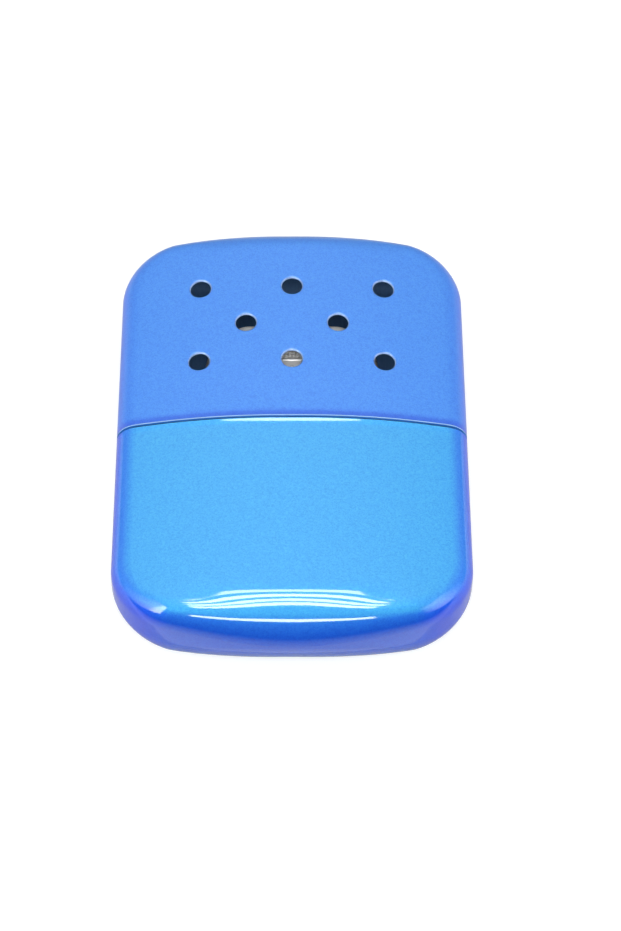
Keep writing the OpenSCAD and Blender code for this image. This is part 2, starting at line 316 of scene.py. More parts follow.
# %% The tent
TENT_BRIGHT = Vector((-0.06, 0.59, 0.8)).normalized()
tent = bpy.data.worlds.new("tent")
bpy.context.scene.world = tent
tent.use_nodes = True
tree = tent.node_tree
way = add(tree, "ShaderNodeTexCoord")
facing = add(tree, "ShaderNodeVectorMath", operation="DOT_PRODUCT")
facing.inputs[1].default_value = TENT_BRIGHT
tree.links.new(way.outputs["Generated"], facing.inputs[0])
walls = shades(tree, facing.outputs["Value"], (0.2, (0.05, 0.05, 0.055)), (0.6, (0.18, 0.18, 0.19)),
               (0.88, (0.26, 0.26, 0.27)), (1.0, (0.5, 0.5, 0.5)))
inside = tree.nodes["Background"]
tree.links.new(walls, inside.inputs["Color"])
white = add(tree, "ShaderNodeBackground", Strength=1.0)
white.inputs["Color"].default_value = (1, 1, 1, 1)
rays = add(tree, "ShaderNodeLightPath")
two_surfaces(tree, rays.outputs["Is Camera Ray"], inside.outputs["Background"], white.outputs["Background"],
             "World Output")

# %% [markdown]
# The table is white in the picture, without an edge. A plain floor does that when part of its white comes
# from Light Path: the lens sees it bright, with a soft shadow round the case, reflections see a part of
# that, and the light that it throws back onto the paint is that of a quieter table.

# %% The table
TABLE_GREY, TABLE_GLOW, MIRRORED_SHARE = (0.42, 0.42, 0.42, 1), 0.72, 0.3
bpy.ops.mesh.primitive_plane_add(size=6)
table = bpy.context.object
table.name = "table"
material, tree, shader = finish("table_white", Base_Color=TABLE_GREY, Roughness=0.9, Specular_IOR_Level=0)
rays = add(tree, "ShaderNodeLightPath")
seen = add(tree, "ShaderNodeEmission", Strength=TABLE_GLOW)
matte = add(tree, "ShaderNodeBsdfDiffuse", Color=TABLE_GREY)
both = add(tree, "ShaderNodeAddShader")
tree.links.new(seen.outputs["Emission"], both.inputs[0])
tree.links.new(matte.outputs["BSDF"], both.inputs[1])
either = scaled_sum(tree, rays.outputs["Is Glossy Ray"], MIRRORED_SHARE, rays.outputs["Is Camera Ray"])
two_surfaces(tree, either, shader.outputs["BSDF"], both.outputs["Shader"], "Material Output")
table.data.materials.append(material)

# %% [markdown]
# ## The form of the case
#
# Tank and lid are deep-drawn from one lens-shaped section: a broad crest arc on each face, a tight rounding
# at each side and a narrow straight band between. Seen from the front, each end is a shallow arch between
# two rounded corners. The edge is rolled all along that outline: tightly along the sides and round the
# corners, and deeper and deeper towards the middle of the arch. The long highlights on the base show this,
# for they bow away from the arch of the outline. So the height at any point is the crest's height times a
# share, which depends on how far the point lies inside the outline and how far it is along the arch.
#
# The section is drawn once, as a quarter that is mirrored twice, and then extruded ring by ring along Y.
# The ends are shaped afterwards, by moving the points of those rings to that height.

# %% Sizes of the case
lid_lo, lid_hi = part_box("lid_shell")
tank_lo, tank_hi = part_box("tank_shell")
half_w = (tank_hi.x - tank_lo.x) / 2
half_t = lid_hi.z / 2
tip = lid_hi.y
sheet = 0.5 * MM
CREST_FLAT = 2 * MM
SIDE_FLAT = 1.5 * MM
SIDE_R = 4.8 * MM
DRAFT = math.tan(math.radians(0.3))
COLUMN = 0.75 * MM
EDGE_LAND = 0.01 * MM
ROLL_FADE = 1.7
rise = half_t - SIDE_FLAT
corner_x = half_w - SIDE_R
CREST_R = ((corner_x - CREST_FLAT) ** 2 + rise ** 2 - SIDE_R ** 2) / (2 * (rise - SIDE_R))
crest_lean = math.atan2(corner_x - CREST_FLAT, SIDE_FLAT - half_t + CREST_R)
print("crest radius %.1f mm" % (CREST_R / MM))


def crest(x, inset=0.0):
    """Height of the crest over the middle plane, at x."""
    past = max(0, abs(x) - CREST_FLAT)
    return half_t - CREST_R + math.sqrt((CREST_R - inset) ** 2 - past ** 2)


def side_share(inside, inset=0.0):
    """Share of the crest's height that a side's rounding leaves, at a distance inside the outline."""
    r = SIDE_R - inset
    if inside >= r * (1 - math.sin(crest_lean)):
        return 1.0
    return (SIDE_FLAT + math.sqrt(r * r - (r - max(0, inside)) ** 2)) / crest(half_w - inset - inside, inset)


# %% The two ends
class End:
    """One rounded end of the case: corner radius, arch radius and depth of the rolled edge."""

    def __init__(self, way, corner, arch, roll):
        self.way, self.corner, self.arch, self.roll = way, corner * MM, arch * MM, roll * MM
        self.side = half_w - self.corner
        self.centre = tip - self.arch
        self.start = self.centre + math.sqrt((self.arch - self.corner) ** 2 - self.side ** 2)
        self.turn = math.atan2(self.start - self.centre, self.side)

    def width(self, y, inset=0.0):
        """Half width of the outline at y."""
        corner, arch = self.corner - inset, self.arch - inset
        if y <= self.start:
            return half_w - inset
        if y <= self.start + corner * math.sin(self.turn):
            return self.side + math.sqrt(corner ** 2 - (y - self.start) ** 2)
        return math.sqrt(max(0, arch ** 2 - (y - self.centre) ** 2))

    def height(self, x, y, inset=0.0):
        """Height of the surface over the middle plane, at a point in from the outline."""
        if y <= self.start:
            return crest(x, inset) * side_share(half_w - inset - x, inset)
        along = math.atan2(x, y - self.centre) / (math.pi / 2 - self.turn)
        if along > 1:
            inside = self.corner - inset - math.hypot(x - self.side, y - self.start)
            return crest(x, inset) * side_share(inside, inset)
        inside = self.arch - inset - math.hypot(x, y - self.centre)
        up = min(1, max(inside, EDGE_LAND) / (self.roll - inset))
        rolled = math.sqrt(1 - (1 - up) ** 2)
        middle = 1 - along ** ROLL_FADE
        return crest(x, inset) * (middle * rolled + (1 - middle) * side_share(inside, inset))


base_end = End(-1, 14, 107, 8)
lid_end = End(1, 13, 105, 6.5)


def drafted(y):
    """Narrowing of the case by the draft of its sides."""
    return 1 - DRAFT * max(0, y + base_end.start) / half_w


# %% The section and the drawn sheet
def whole_ring(bm):
    """Mirrors a quarter of a section twice and returns the edges of the whole."""
    for axis in ("Z", "X"):
        quarter = bm.verts[:] + bm.edges[:]
        bmesh.ops.mirror(bm, geom=quarter, matrix=Matrix(), merge_dist=JOIN, axis=axis)
    bmesh.ops.remove_doubles(bm, verts=bm.verts[:], dist=JOIN)
    return bm.edges[:]


def lens_section(bm, y, inset=0.0, corner_steps=10):
    """The case's section in the plane y, about the middle plane z = 0."""
    join = corner_x + (SIDE_R - inset) * math.sin(crest_lean)
    last = bm.verts.new((0, y, crest(0, inset)))
    for i in range(1, int(join / COLUMN) + 2):
        x = min(i * COLUMN, join)
        new = bmesh.ops.extrude_vert_indiv(bm, verts=[last])["verts"][0]
        new.co = (x, y, crest(x, inset))
        last = new
    bmesh.ops.spin(bm, geom=[last], cent=(corner_x, y, SIDE_FLAT), axis=(0, 1, 0),
                   angle=math.pi / 2 - crest_lean, steps=corner_steps)
    last = max(bm.verts, key=lambda v: (round(v.co.x, 7), -v.co.z))
    side = bmesh.ops.extrude_vert_indiv(bm, verts=[last])["verts"][0]
    side.co.z = 0
    return whole_ring(bm)


def extruded(bm, edges):
    """Extrudes edges on the spot and returns the new points, edges and faces."""
    new = bmesh.ops.extrude_edge_only(bm, edges=edges)["geom"]
    kinds = bmesh.types.BMVert, bmesh.types.BMEdge, bmesh.types.BMFace
    return [[part for part in new if isinstance(part, kind)] for kind in kinds]


def next_ring(bm, edges, y):
    """Extrudes a ring of edges to the plane y and returns the new ring."""
    verts, ring, _ = extruded(bm, edges)
    for v in verts:
        v.co.y = y
    return ring


def even_rings(bm, ring, start, stop, count):
    """Extrudes a ring along Y from start to stop, in equal steps."""
    for i in range(1, count + 1):
        ring = next_ring(bm, ring, start + (stop - start) * i / count)
    return ring


def closing_rings(bm, ring, start, stop, count):
    """Extrudes a ring along Y from start to stop, in steps that get shorter and shorter."""
    for i in range(1, count + 1):
        ring = next_ring(bm, ring, start + (stop - start) * math.sin(math.pi / 2 * i / count))
    return ring


def round_end(bm, end, inset=0.0):
    """Narrows the rings of a straight extrusion to the outline of an end and rolls its edge."""
    for v in bm.verts:
        x, y, z = v.co
        h = min(end.way * y, tip - inset)
        before_tip = h < tip - inset - TOUCH
        x *= end.width(h, inset) / (half_w - inset) if before_tip else 0
        up = end.height(abs(x), h, inset) if before_tip else 0
        v.co = (x * drafted(y), y, half_t + (math.copysign(up, z) if abs(z) > TOUCH else 0))
    bmesh.ops.remove_doubles(bm, verts=bm.verts[:], dist=WELD)


# %% [markdown]
# ## From sheet to piece
#
# Each shell is made as a sheet without thickness and gets its wall from Solidify, which keeps the outer
# face where it is. Bevel then rounds the cut rims, as tumbling and lacquer do, and Weighted Normal keeps
# the broad faces smooth next to the tiny rims. One helper turns a mesh into a piece of the frame.

# %% A piece of the frame
def new_piece(name, bm, body, materials, replaced):
    bm.normal_update()
    mesh = mesh_of(bm, name)
    for material in materials:
        mesh.materials.append(material)
    mesh.shade_smooth()
    piece = in_scene(name, mesh)
    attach(piece, body)
    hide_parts(*replaced)
    return piece


def wall(piece, thickness, inner=0):
    """Gives a sheet its thickness, inwards; inner is the material of the inner face."""
    solid = piece.modifiers.new("wall", "SOLIDIFY")
    solid.thickness = thickness
    solid.offset = -1
    solid.use_even_offset = True
    solid.material_offset = inner
    solid.material_offset_rim = 0


def round_edges(piece, width, segments=3, angle=40):
    soft = piece.modifiers.new("rounding", "BEVEL")
    soft.width = width
    soft.segments = segments
    soft.limit_method = "ANGLE"
    soft.angle_limit = math.radians(angle)
    even = piece.modifiers.new("even_shading", "WEIGHTED_NORMAL")
    even.keep_sharp = True


def face_outwards(bm):
    """Turns all faces outwards, judged by the highest face of the mesh."""
    bmesh.ops.recalc_face_normals(bm, faces=bm.faces[:])
    top = max(bm.faces, key=lambda f: f.calc_center_median().z)
    if top.normal.z < 0:
        bmesh.ops.reverse_faces(bm, faces=bm.faces[:])


# %% [markdown]
# ## Metallic lacquer
#
# The paint is a translucent blue lacquer over a base with fine aluminium flake. Up close each flake is a
# speck of about a tenth of a millimetre that leans its own way, so a cell pattern gives every speck its own
# shade and a slight tilt. A broad, faint noise keeps the colour from looking printed. Where the surface
# turns away from facing up or down, on the rolled edges, the colour is darkened: painted shade, found by
# the object's own normal, and along the sides that painted shade turns towards violet. The lid is a satin
# violet-blue; the tank has the same flake in a bluer, wetter lacquer.
#
# On the pressed lips of the vents the colour is a pale blue, a painted highlight. The lid's lowest ring is
# pale where it faces up or down and dark where it faces out, a painted highlight and painted shade, and a
# darker band above the rim is painted shade.

# %% The two lacquers
SPECK_SHARE = 0.45
# a tint and the two heights over the lid's rim between which it fades out: a band of painted shade
RIM_PAINTED_SHADE = (0.6, 0.58, 0.9)
RIM_SHADE_START, RIM_SHADE_END = 0.6 * MM, 2.2 * MM


def flake_lacquer(name, deep, plain, bright, edge_painted_shade, sides, coat_roughness, coat_ior, rim=None):
    material, tree, shader = finish(name, Metallic=0.15, Roughness=0.5, Specular_IOR_Level=0.1,
                                    Coat_Weight=1.0, Coat_Roughness=coat_roughness, Coat_IOR=coat_ior)
    flakes = object_pattern(tree, "ShaderNodeTexVoronoi", Scale=4800)
    speck = add(tree, "ShaderNodeSeparateColor")
    tree.links.new(flakes.outputs["Color"], speck.inputs["Color"])
    cloud = object_pattern(tree, "ShaderNodeTexNoise", Scale=1500, Detail=3.0, Roughness=0.7)
    clouded = levels(tree, cloud.outputs["Fac"], 0.0, 1 - SPECK_SHARE)
    mixed = scaled_sum(tree, speck.outputs["Red"], SPECK_SHARE, clouded)
    colour = shades(tree, mixed, (0.0, deep), (0.5, plain), (1.0, bright))
    # painted shade: the colour is darkened where the surface turns away from facing up or down, and along
    # the sides it is shaded towards violet
    edge = shades(tree, leaning(tree, "Z"), *greys((0.25, 1), (0.52, 0.75), (0.72, 0)))
    colour = tinted(tree, colour, edge, edge_painted_shade)
    side = shades(tree, leaning(tree, "X"), *greys((0.2, 0), (0.55, 1)))
    colour = tinted(tree, colour, side, sides)
    # painted shade: a darker band just above the lid's rim
    if rim:
        colour = tinted(tree, colour, along_y(tree, rim, (1.0, 0.0), "SMOOTHSTEP"), RIM_PAINTED_SHADE)
    tree.links.new(colour, shader.inputs["Base Color"])
    grain = bump(tree, speck.outputs["Green"], 0.004 * MM)
    tree.links.new(grain, shader.inputs["Normal"])
    skin = object_pattern(tree, "ShaderNodeTexNoise", Scale=700, Detail=2.0)
    peel = bump(tree, skin.outputs["Fac"], 0.003 * MM)
    tree.links.new(peel, shader.inputs["Coat Normal"])
    return material


# after the three flake colours come the painted shade of the turned edges and the painted shade of the sides
lid_paint = flake_lacquer("lid_lacquer", (0.05, 0.22, 0.84), (0.08, 0.32, 1.0), (0.12, 0.44, 1.0),
                          (0.6, 0.7, 1.0), (1.0, 0.92, 1.0), 0.28, 1.7,
                          rim=(lid_lo.y + RIM_SHADE_START, lid_lo.y + RIM_SHADE_END))
tank_paint = flake_lacquer("tank_lacquer", (0.035, 0.32, 0.87), (0.06, 0.46, 1.0), (0.09, 0.6, 1.0),
                           (0.14, 0.3, 0.95), (0.8, 0.6, 1.0), 0.05, 1.9)

# a pale blue on the pressed lips of the vents: a painted highlight, over the gloss of its own coat
vent_lip_highlight, tree, shader = finish("vent_lip_highlight", Metallic=0.3, Roughness=0.3, Coat_Weight=1.0, Coat_Roughness=0.1)
burr = object_pattern(tree, "ShaderNodeTexNoise", Scale=3000, Detail=3.0)
tree.links.new(shades(tree, burr.outputs["Fac"], (0.3, (0.3, 0.5, 0.95)), (0.7, (0.48, 0.66, 1.0))),
               shader.inputs["Base Color"])

# the lid's lowest ring: pale where it faces up or down, a painted highlight, and dark where it faces out,
# painted shade
rim_light_and_shade, tree, shader = finish("rim_painted_light_and_shade", Roughness=0.4, Coat_Weight=1.0, Coat_Roughness=0.1)
tree.links.new(shades(tree, leaning(tree, "Z"), (0.1, (0.03, 0.24, 0.75)), (0.5, (0.46, 0.75, 1.0))),
               shader.inputs["Base Color"])

# the inner faces of the shells: a dark blue that is painted shade inside the shells, with the faint lines of
# the drawing in its bump
inner_painted_shade, tree, shader = finish("inside_painted_shade", Metallic=0.2, Roughness=0.5)
drawn = object_pattern(tree, "ShaderNodeTexNoise", stretch=(1, 0.08, 1), Scale=2500, Detail=3.0)
tree.links.new(shades(tree, drawn.outputs["Fac"], (0.2, (0.085, 0.2, 0.43)), (0.8, (0.115, 0.25, 0.5))),
               shader.inputs["Base Color"])
tree.links.new(bump(tree, drawn.outputs["Fac"], 0.01 * MM), shader.inputs["Normal"])

# %% [markdown]
# ## Tank shell
#
# The tank is a plain drawn cup with the rolled base. Where the trimming tool ran round it, the last
# millimetre of the wall springs out by almost a fifth of a millimetre, from a shallow waist below. That is
# too little to see as a shape, but it catches the tubes overhead and draws the bright line under the seam.

# %% Tank shell
RIM_FLARE = 0.3 * MM
LID_FLARE = 0.16 * MM
FLARE_DEPTH = 1.25 * MM
FLARE_RETURN = 9 * MM
FLARE_RINGS, FLARE_POWER, WAIST_SHARE = 8, 1.15, 0.4
rim_y = tank_hi.y - 0.3 * MM


def flare(bm, rim, amount):
    """Lets the sheet spring out at its rim, from a shallow waist below it."""
    for v in bm.verts:
        back = abs(rim - v.co.y)
        lip = max(0, 1 - back / FLARE_DEPTH) ** FLARE_POWER
        waist = 0.5 + 0.5 * math.cos(math.pi * min(1, max(0, back - FLARE_DEPTH) / FLARE_RETURN))
        v.co.z += amount * (lip - WAIST_SHARE * waist) * (v.co.z - half_t) / half_t


bm = bmesh.new()
ring = even_rings(bm, lens_section(bm, rim_y), rim_y, rim_y - FLARE_DEPTH, FLARE_RINGS)
ring = even_rings(bm, ring, rim_y - FLARE_DEPTH, -base_end.start, 8)
closing_rings(bm, ring, -base_end.start, -tip, 30)
round_end(bm, base_end)
flare(bm, rim_y, RIM_FLARE)
face_outwards(bm)
tank = new_piece("tank_case", bm, "tank", [tank_paint, inner_painted_shade], ["tank_shell"])
wall(tank, sheet, inner=1)
round_edges(tank, 0.2 * MM)
print("tank case:", len(tank.data.polygons), "faces")

# %% [markdown]
# ## Lid shell and its vents
#
# Eight vents are punched through each face, in rows of three, two and three. Cutting round holes into a
# curved sheet leaves ragged shading, so each vent grows out of the sheet's own grid: a square patch is
# taken out, and its edge is extruded inwards and pulled onto smaller and smaller circles. The last ones are
# pressed in a little, as the punch has done.

# %% Vents
VENT_R = 2 * MM
VENT_FIRST, VENT_ROW, VENT_COLUMN = 14 * MM, 9 * MM, 9 * MM
VENT_PATCH = 3 * MM
# the rings of a vent: radius as a share of the vent's own, and how far each is pressed in, in millimetres
VENT_LIP = ((1.32, 0), (1.24, 0), (1.16, 0.03), (1.1, 0.1), (1.06, 0.19), (1.03, 0.3), (1.0, 0.42))
# places among the lid's materials of the lips' painted highlight and of the rim's painted highlight and
# shade, and the press, in millimetres, past which a lip takes the painted highlight
LIP_HIGHLIGHT_SLOT, RIM_PAINT_SLOT, HIGHLIGHT_PRESS = 2, 3, 0.1
seam = (lid_lo.y + tank_hi.y) / 2
vents = [(k * VENT_COLUMN, seam + VENT_FIRST + row * VENT_ROW)
         for row, places in enumerate(((-2, 0, 2), (-1, 1), (-2, 0, 2)))
         for k in places]


def pull_to_circle(verts, centre, radius, face, press):
    for v in verts:
        out = Vector((v.co.x - centre[0], v.co.y - centre[1])).normalized() * radius
        x, y = centre[0] + out.x, centre[1] + out.y
        v.co = (x, y, half_t + face * (crest(x / drafted(y)) - press))


def open_patch(bm, patch):
    """Takes a patch of faces out of a sheet and returns the edges round the hole."""
    inner = {e for f in patch for e in f.edges}
    border = [e for e in inner if sum(f in patch for f in e.link_faces) == 1]
    bmesh.ops.delete(bm, geom=patch, context="FACES_ONLY")
    bmesh.ops.delete(bm, geom=[e for e in inner if not e.link_faces], context="EDGES")
    return [e for e in border if e.is_valid]


def punch(bm, centre, face):
    """Opens one vent in the sheet; face is 1 for the front and -1 for the back."""
    patch = [f for f in bm.faces
             if abs(f.calc_center_median().x - centre[0]) < VENT_PATCH
             and abs(f.calc_center_median().y - centre[1]) < VENT_PATCH
             and face * (f.calc_center_median().z - half_t) > 0]
    border = open_patch(bm, patch)
    for radius, press in VENT_LIP:
        verts, border, faces = extruded(bm, border)
        pull_to_circle(verts, centre, VENT_R * radius, face, press * MM)
        # the rings pressed in furthest take the painted highlight
        if press > HIGHLIGHT_PRESS:
            for f in faces:
                f.material_index = LIP_HIGHLIGHT_SLOT
    return len(patch)


# %% Lid shell
GRID_START = seam + VENT_FIRST - VENT_PATCH
GRID_ROWS = 32
GRID_END = GRID_START + GRID_ROWS * COLUMN
flared_y = lid_lo.y + FLARE_DEPTH
bm = bmesh.new()
ring = even_rings(bm, lens_section(bm, lid_lo.y), lid_lo.y, flared_y, FLARE_RINGS)
ring = even_rings(bm, ring, flared_y, GRID_START, 6)
ring = even_rings(bm, ring, GRID_START, GRID_END, GRID_ROWS)
closing_rings(bm, ring, GRID_END, tip, 26)
round_end(bm, lid_end)
cells = [punch(bm, vent, face) for vent in vents for face in (1, -1)]
# the lowest ring of the lid takes the rim's painted highlight and painted shade
for f in bm.faces:
    if max(v.co.y for v in f.verts) < lid_lo.y + FLARE_DEPTH / FLARE_RINGS + JOIN:
        f.material_index = RIM_PAINT_SLOT
flare(bm, lid_lo.y, LID_FLARE)
face_outwards(bm)
print("cells taken out for each vent:", set(cells))
lid_materials = [lid_paint, inner_painted_shade, vent_lip_highlight, rim_light_and_shade]
lid = new_piece("lid_case", bm, "lid", lid_materials, ["lid_shell"])
wall(lid, sheet, inner=1)
round_edges(lid, 0.24 * MM)
print("lid case:", len(lid.data.polygons), "faces,", len(vents), "vents a face")

# %% [markdown]
# ## Nickel plate
#
# The neck, the collar and the burner are nickel-plated sheet. Drawing leaves faint lines along the pull,
# and handling leaves hairline scratches that cross them. Both are far too fine to model, so they are a
# stretched noise in the bump and a little variation in the roughness.

# %% Plated, drawn and woven metal
def plated(name, pale, dark, rough, stretch, metallic=1.0):
    material, tree, shader = finish(name, Metallic=metallic)
    lines = object_pattern(tree, "ShaderNodeTexNoise", stretch=stretch, Scale=900, Detail=4.0, Roughness=0.6)
    haze = object_pattern(tree, "ShaderNodeTexNoise", Scale=220, Detail=3.0)
    tree.links.new(shades(tree, haze.outputs["Fac"], (0.3, dark), (0.7, pale)), shader.inputs["Base Color"])
    tree.links.new(levels(tree, lines.outputs["Fac"], rough * 0.6, rough * 1.5), shader.inputs["Roughness"])
    fine = bump(tree, lines.outputs["Fac"], 0.006 * MM)
    tree.links.new(bump(tree, haze.outputs["Fac"], 0.01 * MM, under=fine), shader.inputs["Normal"])
    return material


nickel = plated("nickel_plate", (0.78, 0.76, 0.71), (0.69, 0.66, 0.61), 0.22, (1, 0.05, 1))
burner_nickel = plated("burner_plate", (0.95, 0.94, 0.91), (0.87, 0.86, 0.82), 0.3, (0.06, 1, 1), 0.5)
wire_steel = plated("wire_steel", (0.82, 0.81, 0.79), (0.68, 0.67, 0.65), 0.3, (1, 1, 0.05), 0.3)
gauze_steel = plated("gauze_steel", (0.8, 0.78, 0.74), (0.58, 0.56, 0.52), 0.4, (1, 1, 1), 0.4)

# %% [markdown]
# ## Neck
#
# The neck is an inverted cup with the same section as the case, a running gap smaller. It is drawn in one
# go: the wall, a folded top edge and a flat top with the oval mouth. The fold is a quarter circle of rings,
# each a little narrower and higher than the last, and the top is filled between the last ring and the
# outline of the mouth.

# %% Stadium outlines
def stadium(bm, y, length, width, steps=16):
    """An oval ring with two straight sides, in the plane y, round the middle line of the case."""
    r, flat = width / 2, (length - width) / 2
    v = bm.verts.new((flat, y, half_t + r))
    bmesh.ops.spin(bm, geom=[v], cent=(flat, y, half_t), axis=(0, 1, 0), angle=math.pi, steps=steps)
    ends = [v for v in bm.verts if abs(v.co.y - y) < TOUCH and v.co.x >= flat - TOUCH
            and abs((v.co - Vector((flat, y, half_t))).length - r) < JOIN]
    edges = [e for e in bm.edges if all(v in ends for v in e.verts)]
    copy = bmesh.ops.duplicate(bm, geom=ends + edges)["geom"]
    turned = [g for g in copy if isinstance(g, bmesh.types.BMVert)]
    bmesh.ops.rotate(bm, verts=turned, cent=(0, y, half_t), matrix=Matrix.Rotation(math.pi, 3, "Y"))
    edges += [g for g in copy if isinstance(g, bmesh.types.BMEdge)]

    def at(side, x, z):
        return min(side, key=lambda v: (v.co.x - x) ** 2 + (v.co.z - z) ** 2)

    for z in (half_t + r, half_t - r):
        edges.append(bm.edges.new((at(ends, flat, z), at(turned, -flat, z))))
    return edges


def scale_ring(edges, grow_x, grow_z):
    """Widens a ring about the middle line by an amount on each side."""
    verts = {v for e in edges for v in e.verts}
    wide = max(abs(v.co.x) for v in verts)
    thick = max(abs(v.co.z - half_t) for v in verts)
    for v in verts:
        v.co.x *= 1 + grow_x / wide
        v.co.z = half_t + (v.co.z - half_t) * (1 + grow_z / thick)


# %% Neck
neck_lo, neck_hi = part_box("neck_cup")
collar_lo, collar_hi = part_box("mouth_collar")
FOLD_R = 1.6 * MM
FLANGE = 1.5 * MM
SEAT = 0.05 * MM
neck_inset = half_w * drafted(neck_lo.y) - neck_hi.x
mouth_l = collar_hi.x - collar_lo.x - 2 * (FLANGE - SEAT)
mouth_w = collar_hi.z - collar_lo.z - 2 * (FLANGE - SEAT)

bm = bmesh.new()
ring = lens_section(bm, neck_lo.y, neck_inset)
for y in (neck_hi.y - FOLD_R - 6 * MM, neck_hi.y - FOLD_R - 0.5 * MM, neck_hi.y - FOLD_R):
    ring = next_ring(bm, ring, y)
for v in bm.verts:
    v.co.x *= drafted(v.co.y)
    v.co.z += half_t
FOLD_STEPS = 8
for i in range(1, FOLD_STEPS + 1):
    turn = math.pi / 2 * i / FOLD_STEPS
    last = math.pi / 2 * (i - 1) / FOLD_STEPS
    ring = next_ring(bm, ring, neck_hi.y - FOLD_R * (1 - math.sin(turn)))
    step_in = FOLD_R * (math.cos(turn) - math.cos(last))
    scale_ring(ring, step_in, step_in)
mouth = stadium(bm, neck_hi.y, mouth_l, mouth_w)
bmesh.ops.triangle_fill(bm, use_beauty=True, edges=ring + mouth)
face_outwards(bm)
neck = new_piece("neck", bm, "tank", [nickel], ["neck_cup"])
wall(neck, sheet)
round_edges(neck, 0.1 * MM, angle=50)
print("neck:", len(neck.data.polygons), "faces, mouth %.1f x %.1f mm" % (mouth_l / MM, mouth_w / MM))

# %% [markdown]
# ## Collar and skirt
#
# These two are plain ovals of sheet, and the frame already has their exact form, slits and wire holes
# included. A copy of each is cleaned of its loose triangles, its flat faces are joined again, and its cut
# edges get the small rounding that any sheet edge has.

# %% Dressed copies of the frame's own pieces
def dressed_copy(name, node, body, material, rounding):
    bm = bmesh.new()
    bm.from_mesh(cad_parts[node].data)
    bmesh.ops.remove_doubles(bm, verts=bm.verts[:], dist=WELD)
    bmesh.ops.dissolve_limit(bm, angle_limit=math.radians(0.5), verts=bm.verts[:], edges=bm.edges[:])
    piece = new_piece(name, bm, body, [material], [node])
    round_edges(piece, rounding, segments=2)


dressed_copy("collar", "mouth_collar", "tank", nickel, 0.12 * MM)
dressed_copy("skirt", "burner_skirt", "burner", burner_nickel, 0.08 * MM)

# %% [markdown]
# ## Cotton, felt and glass fibre
#
# Three soft fillings: cotton wadding in the tank, a felt pad in the mouth that keeps it there, and the
# white glass-fibre mat that carries the catalyst. The felt and the mat can be looked at, so their surface
# is broken up in the mesh itself with layered noise, and the finish adds single fibres as stretched, warped
# waves.

# %% Fibre finishes
def fibre(name, pale, shadow, scale, depth, fuzz):
    material, tree, shader = finish(name, Roughness=0.95, Specular_IOR_Level=0.2, Sheen_Weight=fuzz,
                                    Sheen_Roughness=0.6)
    clumps = object_pattern(tree, "ShaderNodeTexNoise", Scale=scale * 0.3, Detail=6.0, Roughness=0.7)
    hairs = object_pattern(tree, "ShaderNodeTexWave", Scale=scale * 0.5, Distortion=14.0, Detail=4.0)
    hairs.inputs["Detail Scale"].default_value = 2.0
    both = add(tree, "ShaderNodeMath", operation="MULTIPLY")
    tree.links.new(clumps.outputs["Fac"], both.inputs[0])
    tree.links.new(levels(tree, hairs.outputs["Fac"], 0.6, 1.4), both.inputs[1])
    colour = shades(tree, both.outputs["Value"], (0.25, shadow), (0.6, pale))
    tree.links.new(colour, shader.inputs["Base Color"])
    tree.links.new(bump(tree, both.outputs["Value"], depth), shader.inputs["Normal"])
    return material


cotton = fibre("cotton_wool", (0.9, 0.88, 0.83), (0.72, 0.69, 0.62), 1400, 0.2 * MM, 0.4)
felt = fibre("wool_felt", (0.8, 0.77, 0.68), (0.56, 0.53, 0.45), 2600, 0.08 * MM, 0.3)
glass_fibre = fibre("glass_fibre", (0.88, 0.88, 0.86), (0.6, 0.6, 0.58), 3200, 0.07 * MM, 0.15)


def roughen(bm, amount, size):
    """Moves the points of a soft body in and out by layered noise."""
    bm.normal_update()
    for v in bm.verts:
        v.co += v.normal * amount * noise.fractal(v.co / size, 1.0, 2.0, 4, noise_basis="PERLIN_ORIGINAL")


# %% Wadding
wad_lo, wad_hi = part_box("cotton_wadding")
wad_inset = half_w - wad_hi.x
bm = bmesh.new()
ring = lens_section(bm, wad_hi.y, wad_inset, corner_steps=5)
bmesh.ops.contextual_create(bm, geom=ring)
ring = even_rings(bm, ring, wad_hi.y, -base_end.start, 12)
closing_rings(bm, ring, -base_end.start, wad_lo.y, 16)
round_end(bm, base_end, wad_inset)
bmesh.ops.triangulate(bm, faces=[f for f in bm.faces if len(f.verts) > 4])
face_outwards(bm)
roughen(bm, 0.12 * MM, 1.5 * MM)
wadding = new_piece("wadding", bm, "tank", [cotton], ["cotton_wadding"])

# %% Soft pads of an oval outline
def oval_pad(lo, hi, rows, inset_rows):
    """A solid oval pad between two planes, made of rings, with both faces ringed inwards to a line."""
    bm = bmesh.new()
    length, width = hi.x - lo.x, hi.z - lo.z
    first = stadium(bm, lo.y, length, width, steps=24)
    for edge_ring in (first, even_rings(bm, first, lo.y, hi.y, rows)):
        for _ in range(1, inset_rows):
            edge_ring = next_ring(bm, edge_ring, edge_ring[0].verts[0].co.y)
            scale_ring(edge_ring, -width / 2 / inset_rows, -width / 2 / inset_rows)
        bmesh.ops.contextual_create(bm, geom=edge_ring)
    face_outwards(bm)
    return bm


felt_lo, felt_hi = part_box("wick_felt")
bm = oval_pad(felt_lo, felt_hi, 5, 9)
LONG_EDGE, LONG_EDGE_CUTS = 2 * MM, 24
straights = [e for e in bm.edges if e.calc_length() > LONG_EDGE]
bmesh.ops.subdivide_edges(bm, edges=straights, cuts=LONG_EDGE_CUTS, use_grid_fill=True)
bmesh.ops.triangulate(bm, faces=[f for f in bm.faces if len(f.verts) > 4])
roughen(bm, 0.09 * MM, 0.8 * MM)
pad = new_piece("felt_pad", bm, "tank", [felt], ["wick_felt"])

# %% [markdown]
# ## Burner hood
#
# The hood is a domed oval cap of thin sheet with a wide window in each face. The windows have a pressed
# bead round them, which stiffens the sheet. The cap is drawn like the case ends; each window then grows out
# of the flat face's grid in the same way as a vent, only its edge is pulled onto a rounded rectangle.

